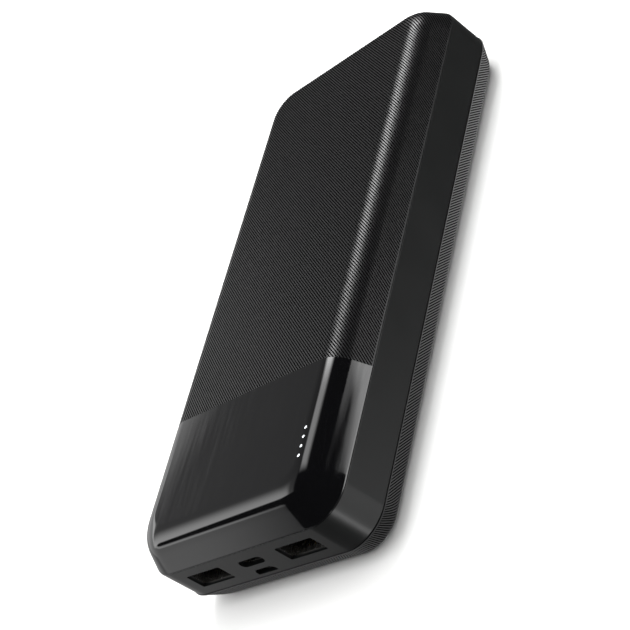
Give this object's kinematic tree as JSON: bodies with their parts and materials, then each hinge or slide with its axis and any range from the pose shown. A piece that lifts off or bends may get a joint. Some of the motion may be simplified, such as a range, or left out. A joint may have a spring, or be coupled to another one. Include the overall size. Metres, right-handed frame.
{
  "type": "power bank",
  "caption": "Flat rounded power bank with a ribbed front cover, a gloss end with charge lights, a side button, and charging sockets in one end.",
  "frame": {"origin": "middle of the back face, at the lowest point of the power bank as it lies on its back", "axes": "+Z out of the front face with the charge lights, +Y towards the end without sockets, +X towards the side beside the charge lights"},
  "size_m": [0.0724, 0.1574, 0.0271],
  "materials": {
    "front_cover_plastic": "black ABS, finely ribbed with a high-gloss end",
    "back_cover_plastic": "black ABS, finely ribbed, satin",
    "mid_frame_plastic": "black ABS, smooth satin",
    "button_plastic": "black ABS, smooth satin",
    "clear_guide": "clear polycarbonate, polished",
    "black_moulding": "black moulded plastic, matt",
    "light_chip": "white chip package",
    "circuit_board": "green solder mask, satin",
    "screw_steel": "zinc-plated steel",
    "socket_metal": "nickel-plated stainless steel, satin",
    "gold_contact": "gold-plated contact, polished",
    "chip_package": "black epoxy, matt",
    "inductor_core": "pressed iron powder, matt",
    "capacitor_can": "bare aluminium can, satin",
    "capacitor_ceramic": "tan ceramic, matt",
    "cell_foil": "laminated aluminium foil pouch, satin",
    "tape": "double-sided tissue tape, matt",
    "foam": "closed-cell foam, matt",
    "nickel_tab": "nickel strip, satin",
    "red_insulation": "silicone insulation, satin",
    "black_insulation": "silicone insulation, satin",
    "sensor_coating": "epoxy bead, glossy",
    "fibre_sheet": "vulcanised fibre sheet, matt"
  },
  "bodies": {
    "case": {"front_cover": "front_cover_plastic", "back_cover": "back_cover_plastic", "mid_frame": "mid_frame_plastic", "light_guide": "clear_guide", "light_shroud": "black_moulding", "charge_lights": "light_chip", "main_board": "circuit_board", "board_screws": "screw_steel", "usb_a_shell_left": "socket_metal", "usb_a_tongue_left": "black_moulding", "usb_a_contacts_left": "gold_contact", "usb_a_shell_right": "socket_metal", "usb_a_tongue_right": "black_moulding", "usb_a_contacts_right": "gold_contact", "usb_c_shell": "socket_metal", "usb_c_tongue": "black_moulding", "usb_c_contacts": "gold_contact", "micro_usb_shell": "socket_metal", "micro_usb_tongue": "black_moulding", "micro_usb_contacts": "gold_contact", "switch_base": "black_moulding", "switch_cover": "socket_metal", "controller_chip": "chip_package", "protection_chip": "chip_package", "power_inductor": "inductor_core", "power_transistors": "chip_package", "polymer_capacitors": "capacitor_can", "ceramic_capacitors": "capacitor_ceramic", "chip_resistors": "chip_package", "cell_lower": "cell_foil", "cell_upper": "cell_foil", "cell_divider_tape": "tape", "lower_foam_pad": "foam", "upper_foam_pad": "foam", "positive_tab": "nickel_tab", "negative_tab": "nickel_tab", "positive_lead": "red_insulation", "negative_lead": "black_insulation", "temperature_sensor": "sensor_coating", "insulating_barrier": "fibre_sheet"},
    "button": {"power_button": "button_plastic", "switch_plunger": "black_moulding"}
  },
  "joints": [
    {"name": "power_button_press", "type": "slide", "parent": "case", "child": "button", "axis": [1, 0, 0], "range_m": [0, 0.0004], "stiffness_N_per_m": 1500}
  ]
}
